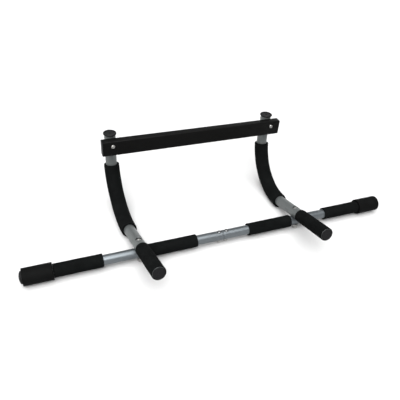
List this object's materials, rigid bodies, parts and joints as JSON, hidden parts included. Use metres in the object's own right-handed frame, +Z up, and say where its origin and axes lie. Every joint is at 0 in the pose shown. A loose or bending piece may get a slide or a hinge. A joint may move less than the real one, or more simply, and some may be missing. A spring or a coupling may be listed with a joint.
{
  "type": "pull up bar",
  "caption": "Doorway pull up bar: a padded cross tube, two bent arms with forward grips, and a rectangular crossbar that hooks over a door frame.",
  "frame": {"origin": "under the middle of the object, on the surface that its arm bolt ends and the bends of its arms stand on", "axes": "+X along the main bar to the right, +Y from the forward grips back to the posts, +Z up along the posts"},
  "size_m": [0.9566, 0.4016, 0.2119],
  "materials": {
    "silver_paint": "satin silver-grey powder paint",
    "grey_paint": "satin grey powder paint",
    "black_paint": "satin black powder paint",
    "foam": "matte closed-cell foam",
    "rubber": "matte rubber",
    "plastic": "moulded, matte",
    "zinc": "zinc plated"
  },
  "bodies": {
    "root": {"arm_bolt_left": "zinc", "arm_bolt_right": "zinc", "arm_bush_left": "zinc", "arm_bush_right": "zinc", "arm_left": "grey_paint", "arm_nut_left": "zinc", "arm_nut_right": "zinc", "arm_right": "grey_paint", "arm_washer_left": "zinc", "arm_washer_right": "zinc", "centre_bolt_left": "zinc", "centre_bolt_right": "zinc", "centre_nut_left": "zinc", "centre_nut_right": "zinc", "crossbar": "black_paint", "crossbar_bolt_left": "zinc", "crossbar_bolt_right": "zinc", "crossbar_nut_left": "zinc", "crossbar_nut_right": "zinc", "crossbar_plug_left": "plastic", "crossbar_plug_right": "plastic", "crossbar_washer_left": "zinc", "crossbar_washer_right": "zinc", "curved_pad_left": "foam", "curved_pad_right": "foam", "end_plug_left": "plastic", "end_plug_right": "plastic", "end_sleeve_left": "rubber", "end_sleeve_right": "rubber", "forward_grip_left": "foam", "forward_grip_right": "foam", "grip_plug_left": "plastic", "grip_plug_right": "plastic", "inner_grip_left": "foam", "inner_grip_right": "foam", "joiner_tube": "zinc", "main_bar_left": "silver_paint", "main_bar_right": "silver_paint", "outer_grip_left": "foam", "outer_grip_right": "foam", "post_cap_left": "plastic", "post_cap_right": "plastic"}
  },
  "joints": []
}
